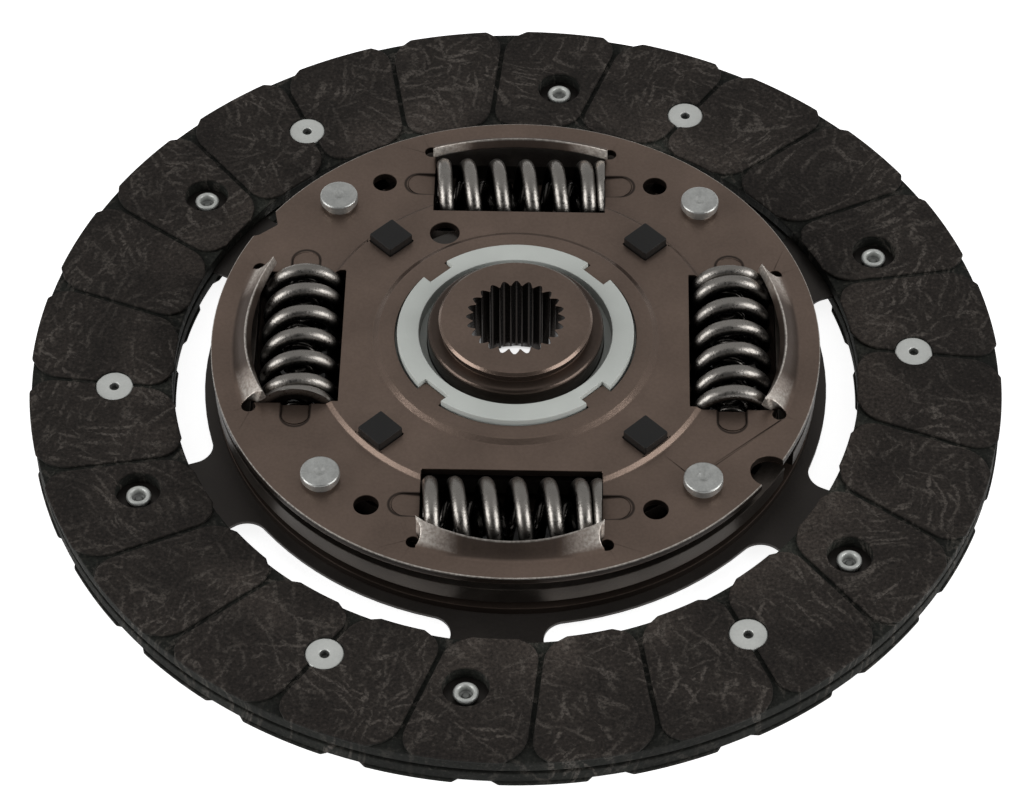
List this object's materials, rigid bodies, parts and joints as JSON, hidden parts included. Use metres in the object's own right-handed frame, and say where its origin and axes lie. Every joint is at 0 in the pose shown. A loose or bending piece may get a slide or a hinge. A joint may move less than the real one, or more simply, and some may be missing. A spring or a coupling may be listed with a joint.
{
  "type": "clutch disc",
  "caption": "Round clutch friction disc with a splined centre hub, coil spring damper and grooved friction rings riveted to a sprung carrier plate.",
  "frame": {"origin": "on the disc's axis at the lower friction face", "axes": "+Z along the axis towards the cover plate side, +X through the right-hand spring window, +Y through the far one"},
  "size_m": [0.2, 0.2, 0.0232],
  "materials": {
    "friction_lining": "matt pressed fibre friction lining",
    "rivet_zinc": "bright zinc plated rivets",
    "black_steel": "black oxide spring steel sheet",
    "brown_steel": "brown phosphated steel, satin",
    "flange_steel": "phosphated steel with sheared edges",
    "black_plastic": "black filled nylon",
    "pale_plastic": "pale moulded bush",
    "spring_steel": "shot peened spring steel"
  },
  "bodies": {
    "plates": {"facing_upper": "friction_lining", "facing_lower": "friction_lining", "facing_rivets_upper": "rivet_zinc", "facing_rivets_lower": "rivet_zinc", "cushion_plate": "black_steel", "drive_plate": "brown_steel", "cover_plate": "brown_steel", "stop_rivets": "rivet_zinc", "lug_ring": "black_plastic", "guide_bush": "pale_plastic", "lower_bush": "pale_plastic", "upper_friction_washer": "black_plastic", "lower_friction_washer": "black_plastic", "wave_spring": "spring_steel"},
    "hub": {"hub": "brown_steel", "hub_flange": "flange_steel"},
    "springs": {"outer_spring_right": "spring_steel", "outer_spring_far": "spring_steel", "outer_spring_left": "spring_steel", "outer_spring_near": "spring_steel", "inner_spring_right": "spring_steel", "inner_spring_far": "spring_steel", "inner_spring_left": "spring_steel", "inner_spring_near": "spring_steel"}
  },
  "joints": [
    {"name": "damper_twist", "type": "hinge", "parent": "plates", "child": "hub", "pos_m": [0, 0, 0.0103], "axis": [0, 0, 1], "range_deg": [-10, 10], "stiffness_Nm_per_rad": 20, "deforming": ["outer_spring_right", "outer_spring_left", "outer_spring_far", "outer_spring_near", "inner_spring_right", "inner_spring_left", "inner_spring_far", "inner_spring_near"]},
    {"name": "spring_travel", "type": "hinge", "parent": "plates", "child": "springs", "pos_m": [0, 0, 0.0103], "axis": [0, 0, 1], "range_deg": [-5, 5]}
  ],
  "couplings": [
    {"joint": "spring_travel", "follows": "damper_twist", "ratio": 0.5}
  ]
}
